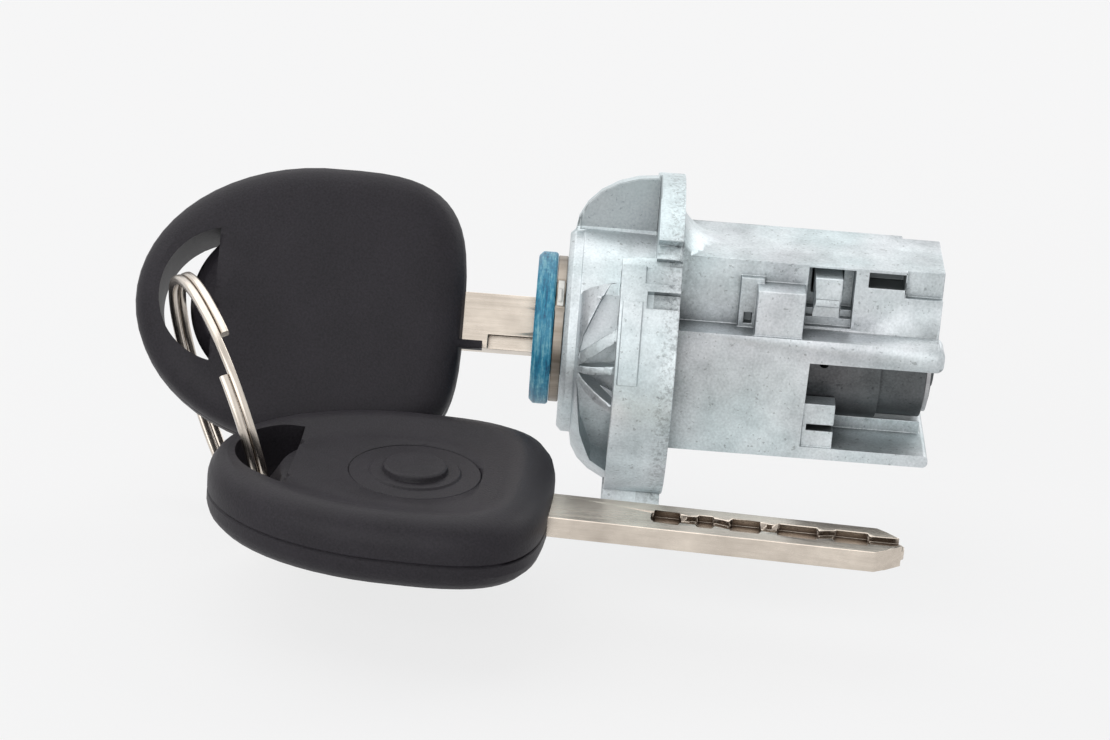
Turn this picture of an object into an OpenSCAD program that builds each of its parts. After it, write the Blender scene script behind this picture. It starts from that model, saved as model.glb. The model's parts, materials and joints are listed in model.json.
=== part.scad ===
// Steering-column ignition lock: a die-cast housing with its wafer cylinder, the key in the
// keyway, and a spare key on a split ring.
// Frame: X runs along the lock from the key to the rear, Z is up, the origin is the centre of
// the flange's rear face. All sizes are in millimetres.

/* [Housing] */
// Radius of the flange disc
flange_r = 24.5; // [22:0.5:28]
// Thickness of the flange disc
flange_t = 4; // [3:0.5:6]
// Depth of the thick side wings of the flange, from the rear face
wing_depth = 9.1; // [7:0.1:11]
// Distance from the flange's rear face to the front of the hub
hub_front = 17.2; // [15:0.1:20]
// Radius of the hub
hub_r = 15.9; // [14.5:0.1:18]
// Length of the body behind the flange
body_len = 40.4; // [36:0.1:50]
// Width of the lower block
base_w = 26; // [24.5:0.5:30]
// Bottom of the lower block, below the axis
base_low = 13.2; // [12.6:0.1:15]
// Top of the lower block's rail, above the axis
rail_top = 6.3; // [5:0.1:7]
// Thickness of that rail where the side window is open
rail_t = 3.7; // [2.5:0.1:4.5]
// Thickness of the floor plate under the side window
floor_t = 1.9; // [1.2:0.1:3]
// Start of the side windows behind the flange
window_start = 20.6; // [16:0.1:24]
// Width of the upper block
crown_w = 16.5; // [16:0.5:19]
// Top of the upper block, above the axis
crown_top = 16.8; // [16:0.1:19]
// Radial reach of the two feet under the flange
foot_reach = 27; // [25:0.5:30]

/* [Cylinder] */
// Outer radius of the cylinder sleeve
sleeve_r = 10; // [9.6:0.1:10.2]
// Length of sleeve that stops short of the body's rear end
sleeve_short = 1.3; // [0.5:0.1:3]
// Radius of the turning plug
plug_r = 7.2; // [7.1:0.1:7.4]
// Number of wafers along the plug
wafer_count = 8; // [4:1:9]
// Distance between wafers
wafer_pitch = 3.4; // [2.6:0.1:3.6]
// Thickness of a wafer
wafer_t = 1.5; // [1:0.1:1.8]
// Thickness of the blue entry ring
entry_ring_t = 3; // [2:0.1:4]
// Outer radius of the blue entry ring
entry_ring_r = 11.9; // [10:0.1:13]

/* [Key] */
// Length of a key's grip
grip_len = 51.2; // [46:0.1:56]
// Half width of a key's grip
grip_half_w = 22.5; // [20:0.1:25]
// Length of blade outside the grip
blade_len = 52.4; // [45:0.1:54]
// Width of the blade
blade_w = 8.8; // [8:0.1:9.2]
// Thickness of the blade
blade_t = 3.2; // [2.8:0.1:3.6]
// Width of the milled track in each face of the blade
track_w = 2.8; // [2.6:0.1:3]
// Depth of that track
track_depth = 0.9; // [0.6:0.1:1.1]
// Gap between the grip of the inserted key and the entry ring
key_stand_off = 11; // [8:0.5:14]
// Lean of the inserted key from upright
key_lean = 35; // [34:0.5:36]
// Radius of the round cap on the grip's front
cap_r = 9.9; // [8:0.1:11]

/* [Split ring] */
// Mean radius of the split ring
ring_r = 19.9; // [19.7:0.1:20.1]
// Width of the ring's wire along the ring's axis
wire_w = 1.3; // [1:0.1:1.5]
// Thickness of the ring's wire across the ring
wire_t = 1.6; // [1.2:0.1:1.8]

/* [Hidden] */
$fn = 96;
eps = 0.01;
// Slip clearance between the housing bore, the sleeve and the plug
slip = 0.05;
// Clearance round the blade, the wafers and the moving catch
play = 0.1;
// Clearance between two faces that must never touch
gap = 0.3;

// Stations along the axis
hub_x = -hub_front;
ring_x = hub_x - 1.6 - entry_ring_t;
sleeve_end = body_len - sleeve_short;
plug_end = sleeve_end + 1;
grip_x = ring_x - key_stand_off - grip_len;
bore_r = sleeve_r + slip;

// Polar helpers: an angle of 0 faces the viewer's side (-Y), 90 is up (+Z)
function side(a, r) = [-r * cos(a), r * sin(a)];

// A wedge of the flange seen along X, from angle a0 to a1 and from radius r0 to r1
module sector(a0, a1, r0, r1, x0, x1) {
    steps = 8;
    da = (a1 - a0) / steps;
    far = r1 / cos(da / 2) * 1.02;
    translate([x0, 0, 0]) rotate([90, 0, 90])
        linear_extrude(x1 - x0) intersection() {
            polygon(concat([[0, 0]], [for (i = [0:steps]) side(a0 + i * da, far)]));
            difference() {
                circle(r1);
                circle(r0);
            }
        }
}

// A round bar along X
module along_x(x0, x1, r) {
    translate([x0, 0, 0]) rotate([0, 90, 0]) cylinder(r = r, h = x1 - x0);
}

// A block given by its limits on each axis
module box(x0, x1, y0, y1, z0, z1) {
    translate([x0, y0, z0]) cube([x1 - x0, y1 - y0, z1 - z0]);
}

// The children and their mirror image on the far side
module both_sides() {
    children();
    mirror([0, 1, 0]) children();
}

// Turns a part that is drawn for an upright key to the key's lean
module key_turn() {
    rotate([-key_lean, 0, 0]) children();
}

// A wire wound about Z: half sizes a across and b along the axis
module coil(r, a, b, pitch, turns, steps, sides) {
    n = round(turns * steps);
    pts = [for (i = [0:n], k = [0:sides - 1])
        let (t = 360 * i / steps, q = 360 * (k + 0.5) / sides)
        [(r + a * cos(q)) * cos(t), (r + a * cos(q)) * sin(t), b * sin(q) + pitch * t / 360]];
    walls = [for (i = [0:n - 1], k = [0:sides - 1])
        let (j = (k + 1) % sides)
        each [[i * sides + k, i * sides + j, (i + 1) * sides + j],
            [i * sides + k, (i + 1) * sides + j, (i + 1) * sides + k]]];
    first = [for (k = [sides - 1:-1:0]) k];
    last = [for (k = [0:sides - 1]) n * sides + k];
    polyhedron(points = pts, faces = concat(walls, [first, last]), convexity = 6);
}

// Catch stations, shared by the housing's window and the catch
catch_x0 = window_start;
catch_x1 = catch_x0 + 4.2;
catch_low = bore_r + 1.5;
catch_high = crown_top - 1.4;
catch_travel = 1.5;
crown_y = crown_w / 2;
base_y = base_w / 2;
window_low = floor_t - base_low;
window_high = rail_top - rail_t;
pad_x0 = window_start - 8.7;
pad_x1 = window_start - 1.4;

// The bell behind the hub: a quarter of an ellipse spun about the axis
module bell() {
    lip = 2.1;
    depth = hub_front - lip - flange_t;
    rim_r = flange_r - 0.3;
    swell = rim_r - 0.6 - hub_r;
    rotate([0, 90, 0]) rotate_extrude()
        polygon(concat(
            [[0, 0], [0, hub_x], [hub_r - 0.8, hub_x], [hub_r, hub_x + 0.8]],
            [for (t = [0:15:90]) [hub_r + swell * sin(t), -flange_t - depth * cos(t)]],
            [[rim_r, -flange_t], [rim_r, -0.5], [rim_r - 0.5, 0]]
        ));
}

// Higher web that closes the far side of the bell's open corner
module far_web() {
    back = -flange_t - 0.1;
    run = hub_front - flange_t - 0.8;
    foot = hub_r - 0.3;
    intersection() {
        rotate([0, 90, 0]) rotate_extrude()
            polygon(concat([[foot - 1, back], [foot - 1, back - run]],
                [for (t = [0:15:90]) [foot + (flange_r + 0.6 - foot) * sin(t), back - run * cos(t)]]));
        sector(96, 128, 5, 40, hub_x - 1, 0);
    }
}

// Wing, foot, grip pad and end step on one side of the flange
module flange_wing() {
    sector(-75, 47, hub_r + 2, flange_r, -wing_depth, 0);
    sector(-75, -62, hub_r + 2, foot_reach, -wing_depth - 0.2, -0.3);
    sector(3, 33, flange_r - 1, flange_r + 0.5, 0.5 - wing_depth, 3.5 - wing_depth);
}

// A pocket cut straight in towards the axis; each corner is a station along X and an angle
module fan_pocket(corners) {
    angles = [for (c = corners) c[1]];
    mid = (max(angles) + min(angles)) / 2;
    rise = (flange_r - hub_r) / (hub_front - wing_depth);
    shape = [for (c = corners) [c[0], (hub_r + (c[0] - hub_x) * rise) * sin(c[1] - mid)]];
    rotate([90 - mid, 0, 0]) translate([0, 0, hub_r + 0.7]) {
        linear_extrude(12) intersection() {
            polygon(shape);
            translate([hub_x, -30]) square([hub_front - wing_depth - 0.05, 60]);
        }
        linear_extrude(flange_r - hub_r - 3) polygon(shape);
    }
}

// Pockets between the hub and the wing, parted by ribs that meet at the hub
module fan_pockets() {
    front = hub_x + 2.6;
    back = 2.5 - wing_depth;
    fan_pocket([[front, 11], [front + 0.4, 19], [front + 2.6, 34], [front + 4, 40], [back, 40], [back, 27]]);
    fan_pocket([[front, 4.5], [back, 22], [back, 10]]);
    fan_pocket([[front, 1], [back, 6], [back, -10]]);
    fan_pocket([[front, -4], [back, -15], [back, -47], [front + 3, -46], [front + 1, -30]]);
}

// A flat strip with rounded rear corners, seen from the side
module side_plate(x0, x1, z0, z1, y0, y1, r) {
    translate([0, y1, 0]) rotate([90, 0, 0]) linear_extrude(y1 - y0) {
        translate([x0, z0]) square([x1 - x0 - r, z1 - z0]);
        translate([x0, z0 + r]) square([x1 - x0, z1 - z0 - 2 * r]);
        for (z = [z0 + r, z1 - r]) translate([x1 - r, z]) circle(r);
    }
}

// Concave fillet between the flange and the upper block
module collar() {
    run = 7.5;
    rise = 4.5;
    intersection() {
        rotate([0, 90, 0]) rotate_extrude()
            polygon(concat([[0, -1], [crown_top + rise, -1]],
                [for (t = [0:9:90]) [crown_top + rise - rise * sin(t), run - run * cos(t)]],
                [[0, run]]));
        box(-1, run + 1, -crown_y, crown_y, rail_top, flange_r);
    }
}

module housing_solid() {
    bell();
    far_web();
    both_sides() flange_wing();
    // Taller rim along the top of the flange
    sector(56, 124, hub_r + 2, flange_r + 1.1, -flange_t - 0.2, -0.1);
    collar();
    // Lower block, its rail and the floor plate
    box(-1, window_start, -base_y, base_y, -base_low, rail_top);
    side_plate(window_start - 1, body_len + 0.8, window_high, rail_top, -base_y, base_y, 1.2);
    side_plate(window_start - 1, body_len, -base_low, window_low, -base_y, base_y, 0.8);
    box(window_start - 1, body_len - 1, -4, 4, -base_low, rail_top);
    // Upper block and its side pads
    box(-1, body_len, -crown_y, crown_y, rail_top - 1, crown_top);
    both_sides() {
        box(pad_x0, pad_x1, -base_y + 0.4, 0, rail_top - 1, crown_top - 3.2);
        box(pad_x0 - 2.6, pad_x0 + 1, -crown_y - 1.1, 0, rail_top - 1, crown_top - 2.4);
        // Stop block inside the side window
        box(window_start - 1, window_start + 4.8, -base_y + 0.4, -4, window_low - 0.5, -4.2);
    }
}

module housing() {
    color("#b9bbbd") difference() {
        housing_solid();
        along_x(hub_x - 1, body_len + 2, bore_r);
        both_sides() fan_pockets();
        // Open corner at the top of the bell
        sector(51.5, 97, hub_r + 0.4, 40, hub_x + 1.4, 0.1 - flange_t);
        sector(41, 53, hub_r + 0.4, 40, hub_x + 1.4, -wing_depth - 0.05);
        both_sides() {
            // Notch below the stepped end of the wing
            sector(31, 37, flange_r - 1.6, 40, -5, 1);
            sector(40, 50, flange_r - 0.9, 40, -5.4, 1);
            // Slot in the stop block
            box(window_start + 0.6, window_start + 6, -base_y - 1, -4, -8.6, -7.6);
            // Slit beside the pad
            box(pad_x0 - 1.7, pad_x0 - 0.5, -crown_y - 2, 0.3 - crown_y, rail_top + 0.7, rail_top + 2.4);
            // Relief along the rear of the upper block's edge
            box(body_len - 5.8, body_len + 1, -crown_y - 1, 1 - crown_y, crown_top - 4.2, crown_top + 1);
            box(body_len - 11.6, body_len - 6, -crown_y - 1, 4.5 - crown_y, crown_top - 2.9, crown_top - 0.5);
        }
        // Window and well of the sprung catch
        for (step = [[0.9, 0.6], [1.9, 1.9], [3.4, 3]])
            box(catch_x0 - 1, catch_x1 + 1.9, -crown_y - 1, step[0] - crown_y, rail_top + step[1], catch_high + 1);
        box(catch_x0 - gap, catch_x1 + gap, -crown_y - 1, 3.2, catch_low - gap, catch_high + gap);
    }
}

// Outer tube of the lock cylinder, seated in the housing's bore
module sleeve() {
    color("#8f9194") difference() {
        union() {
            along_x(hub_x, sleeve_end - 7, sleeve_r);
            along_x(hub_x, sleeve_end, sleeve_r - 0.7);
        }
        along_x(hub_x - 1, sleeve_end + 1, plug_r + slip);
        // Grooves that take the wafers when the key is out
        key_turn() box(hub_x + 6, sleeve_end - 8, -3.3, 3.3, -plug_r - 1.2, plug_r + 1.2);
        translate([window_start + 2.6, 0, 1.6]) rotate([90, 0, 0]) cylinder(r = 0.8, h = 30, $fn = 24);
    }
}

// Pressed steel cap behind the entry ring
module face_cap() {
    r = entry_ring_r - 0.5;
    color("#a08f80") difference() {
        along_x(hub_x - 1.6 + slip, hub_x - slip, r);
        along_x(hub_x - 3, hub_x + 1, plug_r + gap);
        rotate([-20, 0, 0]) box(hub_x - 3, hub_x + 1, -r - 1, 0.7 - r, 3.4, 8);
    }
}

// Blue plastic ring round the key's entry
module entry_ring() {
    w = entry_ring_r;
    color("#2f7fae") rotate([0, 90, 0]) rotate_extrude()
        polygon([[plug_r + gap, ring_x + 0.8], [plug_r + gap + 0.8, ring_x], [w - 0.7, ring_x],
            [w, ring_x + 0.7], [w, ring_x + entry_ring_t - 0.3], [w - 0.3, ring_x + entry_ring_t],
            [plug_r + gap, ring_x + entry_ring_t]]);
}

// Sideways path of the milled track, measured from the blade's middle
track_swing = 0.3;
function track_path(s) = track_swing * (sin(36 * s) + 0.5 * sin(61 * s + 40));
// Wafer stations
wafer_x0 = hub_x + 8;
function wafer_x(i) = wafer_x0 + (i - 1) * wafer_pitch;
function track_at(x) = track_path(x - grip_x - grip_len);
wafer_half_y = 2.9;
wafer_half_z = sqrt(pow(plug_r - 0.25, 2) - pow(wafer_half_y, 2));
arm_out = 5;
// Tail driver
driver_r = plug_r * 0.625;
driver_len = plug_r * 0.82;
arm_z = 2.2;

// The turning core, with the keyway and a cross slot for each wafer
module plug() {
    keyway_end = grip_x + grip_len + blade_len + 1;
    color("#a9a59c") difference() {
        along_x(ring_x + 0.4, plug_end, plug_r);
        key_turn() {
            box(ring_x - 1, keyway_end, -blade_t / 2 - play, blade_t / 2 + play,
                -blade_w / 2 - play, blade_w / 2 + play);
            for (i = [1:wafer_count]) {
                x0 = wafer_x(i) - wafer_t / 2 - play;
                x1 = wafer_x(i) + wafer_t / 2 + play;
                box(x0, x1, -wafer_half_y - play, wafer_half_y + play, -plug_r - 1, plug_r + 1);
                box(x0, x1, 0, arm_out + 0.3, -arm_z - 0.6, arm_z + 2);
            }
        }
        // Groove for the retaining clip and seat for the tail driver
        difference() {
            along_x(sleeve_end + play, sleeve_end + play + 0.7, plug_r + 1);
            along_x(sleeve_end - 1, sleeve_end + 2, plug_r - 0.9);
        }
        along_x(plug_end - driver_len - play, plug_end + 1, driver_r + slip);
    }
}

module wafer(i) {
    x = wafer_x(i);
    z = -track_at(x);
    h = wafer_t / 2;
    floor_y = blade_t / 2 - track_depth;
    color("#b58a3c") key_turn() {
        difference() {
            box(x - h, x + h, -wafer_half_y, wafer_half_y, -wafer_half_z, wafer_half_z);
            box(x - 2, x + 2, -blade_t / 2 - play, blade_t / 2 + play, -blade_w / 2 - 0.8, blade_w / 2 + 0.8);
        }
        // Follower that rides in the blade's track
        box(x - h, x + h, -wafer_half_y + 0.2, -floor_y - play, z - 0.4, z + 0.4);
        // Arm for the spring
        box(x - h, x + h, wafer_half_y - 0.4, arm_out, arm_z, arm_z + 1.2);
    }
}

// One small spring beside each wafer, under its arm
module wafer_springs() {
    wire = 0.11;
    color("#c9ccd0") key_turn() for (i = [1:wafer_count])
        translate([wafer_x(i), (wafer_half_y + arm_out) / 2 + 0.3, wire - arm_z - 0.6])
            coil(0.5, wire, wire, (2 * arm_z + 0.6 - 2 * wire) / 4, 4, 8, 5);
}

// Open retaining ring behind the sleeve
module plug_clip() {
    color("#6f7276") difference() {
        along_x(sleeve_end + play + slip, sleeve_end + play + 0.7 - slip, plug_r + 1.2);
        along_x(sleeve_end - 1, sleeve_end + 3, plug_r - 0.85);
        box(sleeve_end - 1, sleeve_end + 3, -2, 2, 0, plug_r + 3);
    }
}

// Slotted driver pressed into the rear of the plug
module tail_driver() {
    color("#7d8084") difference() {
        along_x(plug_end - driver_len, plug_end + 0.6, driver_r);
        box(plug_end - driver_len / 2, plug_end + 1, -1.2, 1.2, -plug_r, plug_r);
    }
}

// Sprung catch in the upper block's window
module catch_block() {
    color("#9b9da0") {
        box(catch_x0, catch_x1, -crown_y - 1.5, -crown_y + 5, catch_low, catch_high);
        box(catch_x0, catch_x1, -crown_y - 1, -crown_y - 0.1, rail_top + 2.5, catch_low + eps);
        box(catch_x0 + 0.3, catch_x1 - 0.3, -crown_y - 1.7, -crown_y, catch_low - 0.8, catch_low + 0.4);
    }
}

module catch_spring() {
    wire = 0.2;
    y0 = -crown_y + 5 + wire;
    run = 3.2 - wire - y0;
    color("#c9ccd0") translate([(catch_x0 + catch_x1) / 2, y0, (catch_low + catch_high) / 2])
        rotate([-90, 0, 0]) coil(1.2, wire, wire, run / 4.5, 4.5, 10, 6);
}

// Key, drawn flat: X from the grip's outer end to the tip, Z out of its front face
grip_mid = grip_len * 0.566;
eye_s = grip_len * 0.245;
eye_r = grip_half_w * 0.48;
boss_r = grip_half_w * 0.604;
boss_drop = grip_half_w * 0.098;
front_h = 5.9;
back_h = 5.4;
dish_w = 4.6;
chip_s0 = eye_s + 1.5;
chip_s1 = chip_s0 + grip_len * 0.21;
chip_h = 2.4;
outline_n = 60;

function fold(v) = sign(v) * pow(abs(v), 0.58);
function outline(d) = [for (k = [0:outline_n - 1])
    let (t = 360 * (k + 0.5) / outline_n)
    cos(t) < 0
        ? [grip_mid + (grip_mid - d) * cos(t), (grip_half_w - d) * sin(t)]
        : [grip_mid + (grip_len - grip_mid - d) * fold(cos(t)), (grip_half_w - d) * fold(sin(t))]];

// A shell lofted through inset outlines: each level is an inset and a height
module loft(levels) {
    n = outline_n;
    top = len(levels) - 1;
    pts = [for (l = levels, q = outline(l[0])) [q[0], q[1], l[1]]];
    walls = [for (i = [0:top - 1], k = [0:n - 1])
        let (j = (k + 1) % n)
        each [[i * n + k, (i + 1) * n + k, (i + 1) * n + j], [i * n + k, (i + 1) * n + j, i * n + j]]];
    under = [for (k = [0:n - 1]) k];
    over = [for (k = [n - 1:-1:0]) top * n + k];
    polyhedron(points = pts, faces = concat(walls, [under, over]), convexity = 4);
}

// What both halves of the grip are cut by: the eye and the blade's seat
module grip_cuts() {
    difference() {
        translate([eye_s + 2.1, 0, -20]) cylinder(r = eye_r, h = 40);
        box(eye_s, grip_len, -eye_r - 1, eye_r + 1, -21, 21);
        // Rounded swelling in the eye's inner wall
        for (m = [0, 1]) mirror([0, 0, m])
            translate([eye_s + 9.5, 0, 0]) cylinder(r1 = boss_r, r2 = boss_r - boss_drop, h = 3.6);
    }
    box(grip_len - 13 - slip, grip_len + 2, -3.6 - slip, 3.6 + slip, -1.3 - slip, 1.3 + slip);
    box(grip_len - 1.5 - slip, grip_len + 2, -blade_w / 2 - slip, blade_w / 2 + slip,
        -blade_t / 2 - slip, blade_t / 2 + slip);
}

module front_shell() {
    color("#333338") difference() {
        loft([[0.3, 0], [0, 0.3], [0, 2.2], [0.35, 3.6], [1.3, 4.9], [2.8, 5.7], [4.3, front_h],
            [5.5, 5.8], [7.2, 5.2], [8.8, 4.8], [10.5, dish_w]]);
        grip_cuts();
        translate([grip_len * 0.6, 0, dish_w - 1.4]) cylinder(r = cap_r + slip, h = 5);
        box(chip_s0 - slip, chip_s1 + slip, -3 - slip, 3 + slip, -1, chip_h + slip);
    }
}

module back_shell() {
    color("#37373c") difference() {
        mirror([0, 0, 1]) loft([[0.3, 0], [0, 0.3], [0, 1.8], [0.4, 3], [1.4, 4.1], [3, 4.9], [5, 5.2],
            [9, back_h - 0.05], [14, back_h]]);
        grip_cuts();
    }
    // Small lip beside the blade
    color("#37373c") box(grip_len - 2.5, grip_len + 3.2, blade_w / 2 - 0.7, blade_w / 2 + 0.5, -3.4, -blade_t / 2 - 0.2);
}

// Round plain cap let into the dished face
module cap() {
    z = dish_w - 1.4;
    button_r = cap_r * 0.5;
    color("#2f2f34") translate([grip_len * 0.6, 0, 0]) rotate_extrude()
        polygon([[0, z], [cap_r, z], [cap_r, dish_w - 0.2], [cap_r - 0.2, dish_w], [button_r + 2, dish_w],
            [button_r + 1.7, dish_w + 0.3], [button_r, dish_w + 0.3], [button_r - 0.2, dish_w + 1],
            [button_r - 0.6, dish_w + 1.2], [0, dish_w + 1.2]]);
}

// Transponder block inside the grip
module chip() {
    color("#1d1d20") box(chip_s0, chip_s1, -3, 3, play, chip_h);
}

// Stations along the blade where the pockets of the track end
pocket_ends = [for (f = [0.248, 0.372, 0.466, 0.599, 0.76, 0.903]) f * blade_len];
waist = 1.9;
pocket_w = blade_w * 0.25;
function pocket(s0, s1) = [[s0, 0.8], [s0 + 0.5, pocket_w], [s1 - 0.5, pocket_w], [s1, 0.8],
    [s1, -0.8], [s1 - 0.5, -pocket_w], [s0 + 0.5, -pocket_w], [s0, -0.8]];

module blade() {
    tip = grip_len + blade_len;
    w = blade_w / 2;
    face = blade_t / 2;
    track0 = grip_len + 15;
    n = 52;
    ds = (blade_len - 15 + 1) / n;
    edge = track_w / 2;
    color("#c8c0b4") difference() {
        union() {
            translate([0, 0, -face]) linear_extrude(blade_t)
                polygon([[grip_len - 1.5, -w], [tip - 4.2, -w], [tip - 2.8, 1 - w], [tip - 0.4, 3.2 - w],
                    [tip, 3.8 - w], [tip, w - 3.8], [tip - 0.4, w - 3.2], [tip - 2.8, w - 1],
                    [tip - 4.2, w], [grip_len - 1.5, w]]);
            box(grip_len - 13, grip_len, -3.6, 3.6, -1.3, 1.3);
        }
        for (m = [0, 1]) mirror([0, 0, m]) translate([0, 0, face - track_depth]) linear_extrude(2)
            polygon(concat(
                [for (i = [0:n]) [track0 + i * ds, track_path(15 + i * ds) + edge]],
                [for (i = [n:-1:0]) [track0 + i * ds, track_path(15 + i * ds) - edge]]));
        // Wider pockets along the track, parted by short waists
        for (m = [0, 1], i = [1:len(pocket_ends) - 1]) mirror([0, 0, m])
            translate([grip_len, 0, face - track_depth - 0.2]) linear_extrude(2)
                polygon(pocket(pocket_ends[i - 1] + waist, pocket_ends[i]));
        // Stepped strip along one edge of the back face
        box(grip_len + 4, tip + 1, w - 2.2, w + 1, -face - 1, 0.45 - face);
    }
}

// Where the two keys and the ring lie
spare_pos = [grip_x + 15.9, -1.61 * grip_half_w, -0.6222 * grip_half_w];
spare_yaw = -4.1;
ring_pos = [grip_x + eye_s + 2.799, -0.7115 * grip_half_w, -0.4524 * grip_half_w];
ring_tilt = 74;
ring_heading = 22.05;
// Where the wire starts round the ring, so that both ends lie between the keys
ring_start = 233;

module in_lock() {
    translate([grip_x, 0, 0]) rotate([-key_lean - 90, 0, 0]) children();
}

module spare() {
    translate(spare_pos) rotate([0, 0, spare_yaw]) children();
}

// Two turns of flattened spring wire
module split_ring() {
    turn = wire_w + slip;
    color("#cfc9c0") translate(ring_pos) rotate([0, ring_tilt, ring_heading])
        translate([0, 0, -turn]) rotate([0, 0, ring_start])
            coil(ring_r, wire_t / 2, wire_w / 2 * 1.05, turn, 1.95, 60, 8);
}

housing();
sleeve();
face_cap();
entry_ring();
plug();
plug_clip();
tail_driver();
catch_block();
catch_spring();
wafer_springs();
split_ring();
for (i = [1:wafer_count])
    wafer(i);
in_lock() front_shell();  // key_front_shell
in_lock() back_shell();  // key_back_shell
in_lock() blade();  // key_blade
in_lock() cap();  // key_cap
in_lock() chip();  // key_chip
spare() front_shell();  // spare_key_front_shell
spare() back_shell();  // spare_key_back_shell
spare() blade();  // spare_key_blade
spare() cap();  // spare_key_cap
spare() chip();  // spare_key_chip
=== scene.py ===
import json
import math
import bmesh
import bpy
from mathutils import Matrix, Vector


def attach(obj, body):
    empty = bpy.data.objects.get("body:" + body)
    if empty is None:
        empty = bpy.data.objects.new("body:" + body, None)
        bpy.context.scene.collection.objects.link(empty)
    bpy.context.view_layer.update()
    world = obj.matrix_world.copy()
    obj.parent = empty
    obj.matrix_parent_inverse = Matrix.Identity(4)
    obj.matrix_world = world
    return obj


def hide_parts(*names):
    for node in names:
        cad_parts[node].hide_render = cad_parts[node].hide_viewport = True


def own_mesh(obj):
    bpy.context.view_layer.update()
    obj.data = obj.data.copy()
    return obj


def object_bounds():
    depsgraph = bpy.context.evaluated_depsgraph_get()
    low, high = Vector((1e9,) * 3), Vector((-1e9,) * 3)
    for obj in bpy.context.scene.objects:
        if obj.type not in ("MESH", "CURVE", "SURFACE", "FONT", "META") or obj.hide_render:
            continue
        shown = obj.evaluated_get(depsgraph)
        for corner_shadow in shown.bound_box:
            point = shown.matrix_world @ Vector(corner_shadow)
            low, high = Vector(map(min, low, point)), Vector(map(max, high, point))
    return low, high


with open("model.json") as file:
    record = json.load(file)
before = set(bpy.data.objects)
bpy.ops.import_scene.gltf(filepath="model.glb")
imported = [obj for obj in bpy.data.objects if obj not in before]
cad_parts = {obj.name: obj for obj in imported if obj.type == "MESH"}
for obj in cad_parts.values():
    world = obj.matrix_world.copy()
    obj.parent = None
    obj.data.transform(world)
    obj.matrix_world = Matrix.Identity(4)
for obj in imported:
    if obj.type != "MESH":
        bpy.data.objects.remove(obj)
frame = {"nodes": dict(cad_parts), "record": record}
cad_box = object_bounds()

# Housing
# One pressure die casting in zinc alloy: hub, ribbed bell, flange, feet and body in a single piece.
# The tool leaves softly rounded edges, a fine skin texture, flow marks and small dark specks.
mm = 0.001
home = {node: body for body, nodes in frame["record"]["behaviour"]["bodies"].items() for node in nodes}


class Wire:
    """A socket in a node tree, with arithmetic that adds Math nodes."""

    def __init__(self, tree, socket=None):
        self.tree = tree
        self.socket = socket

    def node(self, kind, settings, inputs, out=0):
        made = self.tree.nodes.new(kind)
        for name, value in settings.items():
            if name == "stops":
                elements = made.color_ramp.elements
                while len(elements) < len(value):
                    elements.new(0.5)
                for stop, (place, colour) in zip(elements, value):
                    stop.position = place
                    stop.color = (*colour, 1)
            else:
                setattr(made, name, value)
        for name, value in inputs.items():
            if isinstance(value, Wire):
                self.tree.links.new(value.socket, made.inputs[name])
            else:
                made.inputs[name].default_value = value
        return Wire(self.tree, made.outputs[out])

    def maths(self, operation, first, second):
        return self.node("ShaderNodeMath", {"operation": operation}, {0: first, 1: second})

    def __add__(self, other):
        return self.maths("ADD", self, other)

    def __radd__(self, other):
        return self.maths("ADD", other, self)

    def __mul__(self, other):
        return self.maths("MULTIPLY", self, other)

    def __gt__(self, other):
        return self.maths("GREATER_THAN", self, other)

    def __lt__(self, other):
        return self.maths("LESS_THAN", self, other)


def new_finish(name, **fixed):
    """A material, its shader with constants set on it, a first wire and the place on the surface."""
    made = bpy.data.materials.new(name)
    made.use_nodes = True
    start = Wire(made.node_tree)
    shader = made.node_tree.nodes["Principled BSDF"]
    for key, value in fixed.items():
        shader.inputs[key.replace("_", " ")].default_value = value
    place = start.node("ShaderNodeTexCoord", {}, {}, "Object")
    return made, shader, start, place


def noise(start, place, scale, detail=3.0, rough=0.55, stretch=None):
    if stretch:
        place = start.node("ShaderNodeMapping", {}, {"Vector": place, "Scale": stretch})
    inputs = {"Vector": place, "Scale": scale, "Detail": detail, "Roughness": rough}
    return start.node("ShaderNodeTexNoise", {}, inputs, "Fac")


def ramp(start, value, *stops):
    return start.node("ShaderNodeValToRGB", {"stops": stops}, {"Fac": value}, "Color")


def mix(start, share, under, over, kind="MIX"):
    settings = {"data_type": "RGBA", "blend_type": kind}
    return start.node("ShaderNodeMix", settings, {0: share, 6: under, 7: over}, 2)


def span(start, value, low, high, at_low, at_high):
    return start.node("ShaderNodeMapRange", {}, {"Value": value, 1: low, 2: high, 3: at_low, 4: at_high})


def openness(start, reach):
    """One on open surfaces, falling towards zero in recesses narrower than the reach."""
    settings = {"only_local": True, "samples": 8}
    return start.node("ShaderNodeAmbientOcclusion", settings, {"Distance": reach}, "AO")


def bump(start, height, strength, distance):
    inputs = {"Height": height, "Strength": strength, "Distance": distance}
    return start.node("ShaderNodeBump", {}, inputs, "Normal")


def feed(shader, **wires):
    for name, wire in wires.items():
        wire.tree.links.new(wire.socket, shader.inputs[name.replace("_", " ")])


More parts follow.
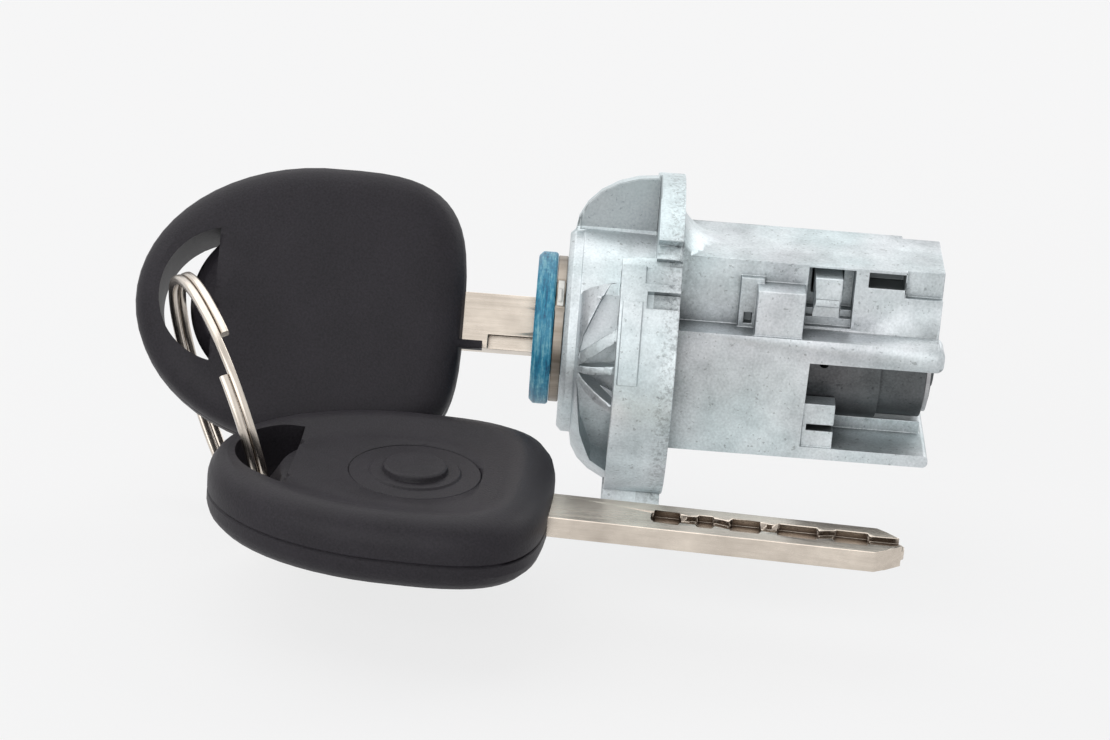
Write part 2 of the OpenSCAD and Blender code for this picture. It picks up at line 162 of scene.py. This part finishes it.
def cast_finish(name, dark, pale, rough):
    """Cast metal with flow marks, specks and a rubbed rear edge on the flange, with painted shade in its
    recesses and a painted shadow on the far wall of the open corner.
    """
    made, shader, start, place = new_finish(name, Metallic=0.8)
    clouds = noise(start, place, scale=140, detail=4)
    grain = noise(start, place, scale=2600, detail=2)
    tint = noise(start, place, scale=55, detail=2)
    scuffs = noise(start, place, scale=1700, detail=4, rough=0.7)
    speck_level = 0.68
    specks = noise(start, place, scale=1400, detail=2) > speck_level
    along, aside, height = [start.node("ShaderNodeSeparateXYZ", {}, {"Vector": place}, axis)
                            for axis in "XYZ"]

    flange_front, front_share = -4 * mm, 0.2
    # Painted shade: recesses narrower than the reach are darkened towards the dark speck colour, less so
    # in front of the flange.
    hollow = openness(start, 5.5 * mm) + grain * 0.15
    recess_shade = span(start, hollow, low=0.40, high=0.88, at_low=0.9, at_high=0.0)
    recess_shade = recess_shade * ((along > flange_front) * (1 - front_share) + front_share)

    band_start, band_full, band_end = -3 * mm, -1.8 * mm, 0.3 * mm
    band = span(start, along, band_start, band_full, at_low=0.0, at_high=1.0) * (along < band_end)
    rubbed = span(start, scuffs, low=0.47, high=0.62, at_low=0.0, at_high=0.45)

    # Painted shadow: the far wall of the open corner of the upper block is darkened by its position.
    corner_low, corner_near, corner_rear = 16.6 * mm, -6 * mm, -3.7 * mm
    wall_slope, wall_shift = 0.1228, 0.4 * mm
    corner_shadow = (height > corner_low) * (aside > corner_near) * (along < corner_rear)
    corner_shadow = corner_shadow * (height * wall_slope + wall_shift > aside)
    # Painted shade from the recesses and the open corner, together with real wear along the flange's rear
    # edge.
    shade_and_wear = recess_shade + rubbed * band + corner_shadow * (0.3 + clouds * 0.4)

    colour = ramp(start, clouds * 0.65 + grain * 0.35, (0.32, dark), (0.68, pale))
    greenish, plain, rosy = (0.90, 1.0, 1.0), (1, 1, 1), (1.0, 0.93, 0.95)
    plating = ramp(start, tint, (0.36, greenish), (0.5, plain), (0.64, rosy))
    colour = mix(start, 0.45, colour, plating, "MULTIPLY")
    # One dark colour for the real specks and for the painted shade.
    speck_and_shade_dark = (*(0.28 * channel for channel in dark), 1)
    pitted = mix(start, specks * 0.4, colour, speck_and_shade_dark)
    feed(shader, Base_Color=mix(start, shade_and_wear, pitted, speck_and_shade_dark),
         Roughness=rough + grain * 0.16 + clouds * 0.1,
         Normal=bump(start, grain + clouds * 2.0, strength=0.28, distance=0.08 * mm))
    return made


def round_edges(shape, edges, width):
    bmesh.ops.bevel(shape, geom=edges, offset=width, offset_type="OFFSET", segments=2, profile=0.5,
                    affect="EDGES", clamp_overlap=False, material=-1)


def dress(node, finish, soften, sharp=34, weld=0.004):
    """Rounds the edges of a copy of a solid and lets it stand for the solid."""
    shape = bmesh.new()
    shape.from_mesh(frame["nodes"][node].data)
    bmesh.ops.remove_doubles(shape, verts=shape.verts, dist=weld * mm)
    bmesh.ops.dissolve_degenerate(shape, edges=shape.edges, dist=weld * mm)
    bmesh.ops.join_triangles(shape, faces=shape.faces, angle_face_threshold=math.radians(0.5),
                             angle_shape_threshold=math.pi)
    if soften:
        # Short edges, and edges that meet at a narrow angle, leave no room for a rounding.
        room, least_angle = 1.5 * soften, math.radians(35)
        edges = [edge for edge in shape.edges
                 if edge.is_manifold and edge.calc_face_angle(0) > math.radians(sharp)
                 and min(near.calc_length() for end in edge.verts for near in end.link_edges) > room]
        chosen = set(edges)
        narrow = set()
        for edge in edges:
            for end in edge.verts:
                leaving = edge.other_vert(end).co - end.co
                for near in end.link_edges:
                    if near is not edge and near in chosen:
                        if leaving.angle(near.other_vert(end).co - end.co) < least_angle:
                            narrow.add(edge)
        round_edges(shape, [edge for edge in edges if edge not in narrow], soften)
    return place_piece(node + "_look", shape, home[node], finish, [node], sharp)


def place_piece(name, shape, body, finish, nodes, sharp=34, stand=None):
    mesh = bpy.data.meshes.new(name)
    shape.to_mesh(mesh)
    shape.free()
    mesh.materials.append(finish)
    mesh.shade_smooth()
    mesh.set_sharp_from_angle(angle=math.radians(sharp))
    piece = bpy.data.objects.new(name, mesh)
    bpy.context.collection.objects.link(piece)
    if stand:
        piece.matrix_world = stand
    even = piece.modifiers.new("even", "WEIGHTED_NORMAL")
    even.keep_sharp = True
    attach(piece, body)
    if nodes:
        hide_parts(*nodes)
    return piece


cast_skin = cast_finish("cast_skin", dark=(0.43, 0.475, 0.49), pale=(0.78, 0.83, 0.85), rough=0.34)
dress("housing", cast_skin, 0.16 * mm)

# Cylinder sleeve
# The fixed tube of the lock cylinder, seen in the side windows. It is turned and darker than the casting.
core_skin = cast_finish("core_skin", dark=(0.045, 0.048, 0.05), pale=(0.15, 0.155, 0.16), rough=0.34)
dress("sleeve", core_skin, 0.15 * mm)

# Plug with its tail driver
# The turning core and the slotted driver at its rear, both machined.
dress("plug", core_skin, 0)
dress("tail_driver", core_skin, 0.15 * mm)

# Face cap
# A thin pressed steel cap that closes the front of the hub, browned by heat and handling.
# A small paler tab sits in its notch. The clip and the wafers' springs are steel wire.


def steel_finish(name, dark, pale):
    made, shader, start, place = new_finish(name, Metallic=0.9)
    drawn = noise(start, place, scale=500, detail=3, rough=0.6, stretch=(0.15, 1, 1))
    feed(shader, Base_Color=ramp(start, drawn, (0.3, dark), (0.7, pale)), Roughness=0.25 + drawn * 0.3,
         Normal=bump(start, drawn, strength=0.2, distance=0.05 * mm))
    return made


browned_steel = steel_finish("browned_steel", dark=(0.16, 0.13, 0.10), pale=(0.42, 0.37, 0.32))
dress("face_cap", browned_steel, 0.15 * mm)
tab_plate = (Vector((-18.5, -11.15, 3.75)), Vector((-17.5, -10.5, 7.65)))
tab_ridge = (Vector((-18.3, -11.35, 4.3)), Vector((-17.7, -11.0, 6.4)))
tab_turn = Matrix.Rotation(math.radians(-20), 4, "X")
tab = bmesh.new()
for low_corner, high_corner in (tab_plate, tab_ridge):
    centre = (high_corner + low_corner) / 2
    size = high_corner - low_corner
    block = Matrix.Translation(centre * mm) @ Matrix.Diagonal((*size * mm, 1))
    bmesh.ops.create_cube(tab, size=1, matrix=block)
round_edges(tab, tab.edges[:], 0.1 * mm)
bmesh.ops.transform(tab, matrix=tab_turn, verts=tab.verts)
pale_steel = steel_finish("pale_steel", dark=(0.34, 0.34, 0.33), pale=(0.58, 0.57, 0.54))
place_piece("cap_tab", tab, "lock", pale_steel, [])
wire_steel = steel_finish("wire_steel", dark=(0.35, 0.35, 0.36), pale=(0.6, 0.6, 0.61))
for node in ("plug_clip", "wafer_springs"):
    dress(node, wire_steel, 0)

# Entry ring
# A blue plastic ring round the key's entry, moulded with streaks of darker and paler pigment.
blue_moulding, shader, start, place = new_finish("blue_moulding", Coat_Weight=0.25, Coat_Roughness=0.3)
streaks = noise(start, place, scale=260, detail=5, rough=0.7, stretch=(7, 1, 0.6))
mottle = noise(start, place, scale=1500, detail=2)
deep, middle, washed = (0.006, 0.085, 0.19), (0.03, 0.31, 0.50), (0.30, 0.66, 0.74)
blue = ramp(start, streaks * 0.8 + mottle * 0.2, (0.36, deep), (0.50, middle), (0.64, washed))
feed(shader, Base_Color=blue, Roughness=0.38 + mottle * 0.2,
     Normal=bump(start, streaks, strength=0.5, distance=0.25 * mm))
dress("entry_ring", blue_moulding, 0.1 * mm)

# Wafers
# Stamped brass plates inside the plug.
stamped_brass, shader, start, place = new_finish("stamped_brass", Metallic=0.95)
stamp = noise(start, place, scale=900, detail=3)
brass = ramp(start, stamp, (0.3, (0.36, 0.24, 0.08)), (0.7, (0.62, 0.46, 0.2)))
feed(shader, Base_Color=brass, Roughness=0.25 + stamp * 0.2)
for node in [name for name in frame["nodes"] if name.startswith("wafer_") and name != "wafer_springs"]:
    dress(node, stamped_brass, 0)

# Catch
# A small sprung block in the window of the upper block, cast like the housing.
# The spring behind it is given a mesh of its own.
dress("catch_block", cast_skin, 0.2 * mm)
spring = dress("catch_spring", wire_steel, 0)
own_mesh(spring)

# Grips
# Each key's grip is two shells of black plastic with a spark-eroded texture.
# A round plain cap is let into the front, and a small chip lies inside.
black_grip, shader, start, place = new_finish("black_grip", Specular_IOR_Level=0.22)
spark = noise(start, place, scale=3000, detail=2)
worn = noise(start, place, scale=120, detail=3)
soot, dusty, crease_shade_black = (0.0145, 0.013, 0.016), (0.039, 0.035, 0.042), (0.0015, 0.0015, 0.0015, 1)
black = ramp(start, spark * 0.6 + worn * 0.4, (0.3, soot), (0.75, dusty))
# Painted shade: narrow creases, the groove between the shells among them, are darkened towards black.
crease_shade = span(start, openness(start, 1.2 * mm), low=0.4, high=0.8, at_low=0.9, at_high=0.0)
feed(shader, Base_Color=mix(start, crease_shade, black, crease_shade_black), Roughness=0.40 + spark * 0.12 + worn * 0.1,
     Normal=bump(start, spark, strength=0.7, distance=0.08 * mm))
for key in ("key", "spare_key"):
    for part in ("front_shell", "back_shell"):
        dress(f"{key}_{part}", black_grip, 0, sharp=28, weld=0.1)
    dress(f"{key}_cap", black_grip, 0.05 * mm, sharp=25)
    dress(f"{key}_chip", black_grip, 0)

# Blades
# Nickel-plated blades with a track milled in both faces, brushed along their length.
# The floor of the track and other narrow recesses are painted dark brown as shade.
nickel_plate, shader, start, place = new_finish("bright_nickel", Metallic=1.0)
brushed = noise(start, place, scale=1800, detail=3, rough=0.6, stretch=(0.04, 1, 1))
tarnish = noise(start, place, scale=160, detail=3)
track_shade_brown = (0.045, 0.026, 0.015, 1)
nickel = ramp(start, tarnish * 0.7 + brushed * 0.3, (0.3, (0.50, 0.44, 0.38)), (0.7, (0.76, 0.68, 0.59)))
# Painted shade: recesses narrower than the reach are darkened towards brown.
track_shade = span(start, openness(start, 3 * mm), low=0.62, high=0.92, at_low=0.9, at_high=0.0)
feed(shader, Base_Color=mix(start, track_shade, nickel, track_shade_brown), Roughness=0.18 + brushed * 0.16,
     Normal=bump(start, brushed, strength=0.12, distance=0.03 * mm))
for key in ("key", "spare_key"):
    dress(f"{key}_blade", nickel_plate, 0.12 * mm)

# Split ring
# Two turns of flattened spring wire, hardened and bright, with fine drawing marks that run along the wire.
drawn_nickel, shader, start, place = new_finish("drawn_nickel", Metallic=1.0)
across = start.node("ShaderNodeSeparateXYZ", {}, {"Vector": place}, "Z")
spread = start.node("ShaderNodeVectorMath", {"operation": "LENGTH"}, {0: place}, "Value")
lines = start.node("ShaderNodeCombineXYZ", {}, {"X": spread, "Y": across})
drawn = noise(start, lines, scale=5200, detail=3, rough=0.6)
tarnish = noise(start, place, scale=220, detail=3)
nickel = ramp(start, tarnish * 0.45 + drawn * 0.55, (0.3, (0.46, 0.41, 0.36)), (0.7, (0.78, 0.71, 0.63)))
feed(shader, Base_Color=nickel, Roughness=0.16 + drawn * 0.18,
     Normal=bump(start, drawn, strength=0.15, distance=0.02 * mm))
steps, sides, turns, first_turn = 160, 24, 1.95, math.radians(233)
radius, pitch = 19.9 * mm, 1.35 * mm
half_wide, half_thick = 0.8 * mm * 0.92, 0.6825 * mm * 0.92
squareness = 4
coil = bmesh.new()
loops = []
for step in range(round(steps * turns) + 1):
    turn = first_turn + 2 * math.pi * step / steps
    loop = []
    for side in range(sides):
        part = 2 * math.pi * (side + 0.5) / sides
        flat = (abs(math.cos(part)) ** squareness + abs(math.sin(part)) ** squareness) ** (-1 / squareness)
        out = radius + half_wide * flat * math.cos(part)
        rise = half_thick * flat * math.sin(part) + pitch * (step / steps - 1)
        loop.append(coil.verts.new((out * math.cos(turn), out * math.sin(turn), rise)))
    loops.append(loop)
for near, far in zip(loops, loops[1:]):
    for side in range(sides):
        following = (side + 1) % sides
        coil.faces.new((near[side], near[following], far[following], far[side]))
coil.faces.new(loops[0][::-1])
coil.faces.new(loops[-1])
ring_centre = Vector((-68.657, -16.009, -10.179)) * mm
ring_heading, ring_tilt = math.radians(22.05), math.radians(74)
turned = Matrix.Rotation(ring_heading, 4, "Z") @ Matrix.Rotation(ring_tilt, 4, "Y")
stand = Matrix.Translation(ring_centre) @ turned
place_piece("split_ring_look", coil, "ring", drawn_nickel, ["split_ring"], 40, stand)

# Floor, light and camera
# A white table and background, a large soft box above, a wide fill in front and a small lamp behind.
# The camera has the photograph's view.


def seen_directly(start):
    """One where the camera or a reflection looks straight at the surface."""
    camera_ray = start.node("ShaderNodeLightPath", {}, {}, "Is Camera Ray")
    glossy_ray = start.node("ShaderNodeLightPath", {}, {}, "Is Glossy Ray")
    return start.maths("MAXIMUM", camera_ray, glossy_ray)


table_half, table_gap, glow_share = 2.0, 0.8 * mm, 0.78
sheet = bmesh.new()
bmesh.ops.create_grid(sheet, x_segments=1, y_segments=1, size=table_half)
mesh = bpy.data.meshes.new("table")
sheet.to_mesh(mesh)
sheet.free()
mesh.transform(Matrix.Translation((0, 0, cad_box[0][2] - table_gap)))
table_colour = (0.86, 0.86, 0.87, 1)
white_table, shader, start = new_finish("white_table", Base_Color=table_colour, Roughness=0.6)[:3]
glow = start.node("ShaderNodeEmission", {}, {"Color": (1, 1, 1, 1), "Strength": 1.0})
lit = Wire(white_table.node_tree, shader.outputs[0])
blend = start.node("ShaderNodeMixShader", {}, {0: seen_directly(start) * glow_share, 1: lit, 2: glow})
table_output = white_table.node_tree.nodes["Material Output"]
white_table.node_tree.links.new(blend.socket, table_output.inputs["Surface"])
mesh.materials.append(white_table)
table = bpy.data.objects.new("table", mesh)
bpy.context.collection.objects.link(table)

world = bpy.context.scene.world or bpy.data.worlds.new("studio")
bpy.context.scene.world = world
world.use_nodes = True
world.node_tree.nodes.clear()
start = Wire(world.node_tree)
room = start.node("ShaderNodeBackground", {}, {"Color": (0.95, 0.96, 1.0, 1), "Strength": 0.14})
white = start.node("ShaderNodeBackground", {}, {"Color": (1, 1, 1, 1), "Strength": 1.0})
both = start.node("ShaderNodeMixShader", {}, {0: seen_directly(start), 1: room, 2: white})
surface = world.node_tree.nodes.new("ShaderNodeOutputWorld")
world.node_tree.links.new(both.socket, surface.inputs["Surface"])

# Each lamp has its name, its place, the point that it faces, its size and its power.
soft_box = ("soft_box", (-0.25, 0.20, 0.52), (-0.02, 0, 0), 0.8, 2.0)
front_fill = ("front_fill", (-0.30, -0.60, 0.15), (-0.02, 0, 0), 0.8, 2.8)
rear_edge = ("rear_edge", (0.35, 0.40, 0.35), (0, 0, 0), 0.3, 0.8)
for name, stands, aim, size, power in (soft_box, front_fill, rear_edge):
    lamp = bpy.data.lights.new(name, "AREA")
    lamp.size = size
    lamp.energy = power
    holder = bpy.data.objects.new(name, lamp)
    holder.location = stands
    holder.rotation_euler = (Vector(aim) - Vector(stands)).to_track_quat("-Z", "Y").to_euler()
    bpy.context.collection.objects.link(holder)

rise, roll = math.radians(22), math.radians(4.5)
reach, view_width, sensor = 0.6, 0.1734, 36
sideways = Vector((1, 0, 0))
upward = Vector((0, math.sin(rise), math.cos(rise)))
ahead = Vector((0, math.cos(rise), -math.sin(rise)))
right = sideways * math.cos(roll) + upward * math.sin(roll)
over = upward * math.cos(roll) - sideways * math.sin(roll)
target = sideways * -18 * mm - upward * 6.5 * mm
lens = bpy.data.cameras.new("photo_view")
lens.sensor_width = sensor
lens.lens = sensor * reach / view_width
lens.clip_start, lens.clip_end = 0.01, 20
camera = bpy.data.objects.new("photo_view", lens)
facing = Matrix((right, over, -ahead)).transposed().to_4x4()
camera.matrix_world = Matrix.Translation(target - ahead * reach) @ facing
bpy.context.collection.objects.link(camera)
bpy.context.scene.camera = camera
bpy.context.scene.view_settings.view_transform = "Standard"
